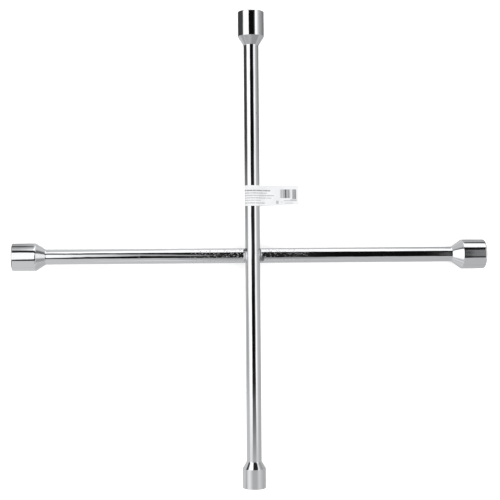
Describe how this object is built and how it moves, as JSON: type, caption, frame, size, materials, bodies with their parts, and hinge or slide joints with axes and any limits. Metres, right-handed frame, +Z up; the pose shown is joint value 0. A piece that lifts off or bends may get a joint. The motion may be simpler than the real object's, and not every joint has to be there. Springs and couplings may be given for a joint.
{
  "type": "lug wrench",
  "caption": "Four-way cross wrench: two round chromed bars welded at the middle, each arm ending in a hexagon socket head, with a paper flag label on one arm.",
  "frame": {"origin": "under the middle of the upper bar, on the middle of the lower bar's length, level with the lowest point of the wrench, which lies flat; the lower bar crosses 6.5 mm to the -Y side", "axes": "+X along the lower bar towards the 23 mm head, +Y along the upper bar towards the 19 mm head, +Z up, square to both bars"},
  "size_m": [0.508, 0.508, 0.0376],
  "materials": {
    "upper_bar_chrome": "bright plating over drawn round bar",
    "lower_bar_chrome": "bright plating over drawn round bar, pitted either side of the weld",
    "weld_chrome": "bright plating over a weld bead",
    "socket_17mm_chrome": "bright plating over turned steel",
    "socket_19mm_chrome": "bright plating over turned steel",
    "socket_21mm_chrome": "bright plating over turned steel",
    "socket_23mm_chrome": "bright plating over turned steel",
    "label_paper": "coated white paper with black and grey print"
  },
  "bodies": {
    "root": {"upper_bar": "upper_bar_chrome", "lower_bar": "lower_bar_chrome", "centre_weld": "weld_chrome", "socket_17mm": "socket_17mm_chrome", "socket_19mm": "socket_19mm_chrome", "socket_21mm": "socket_21mm_chrome", "socket_23mm": "socket_23mm_chrome", "label": "label_paper"}
  },
  "joints": []
}
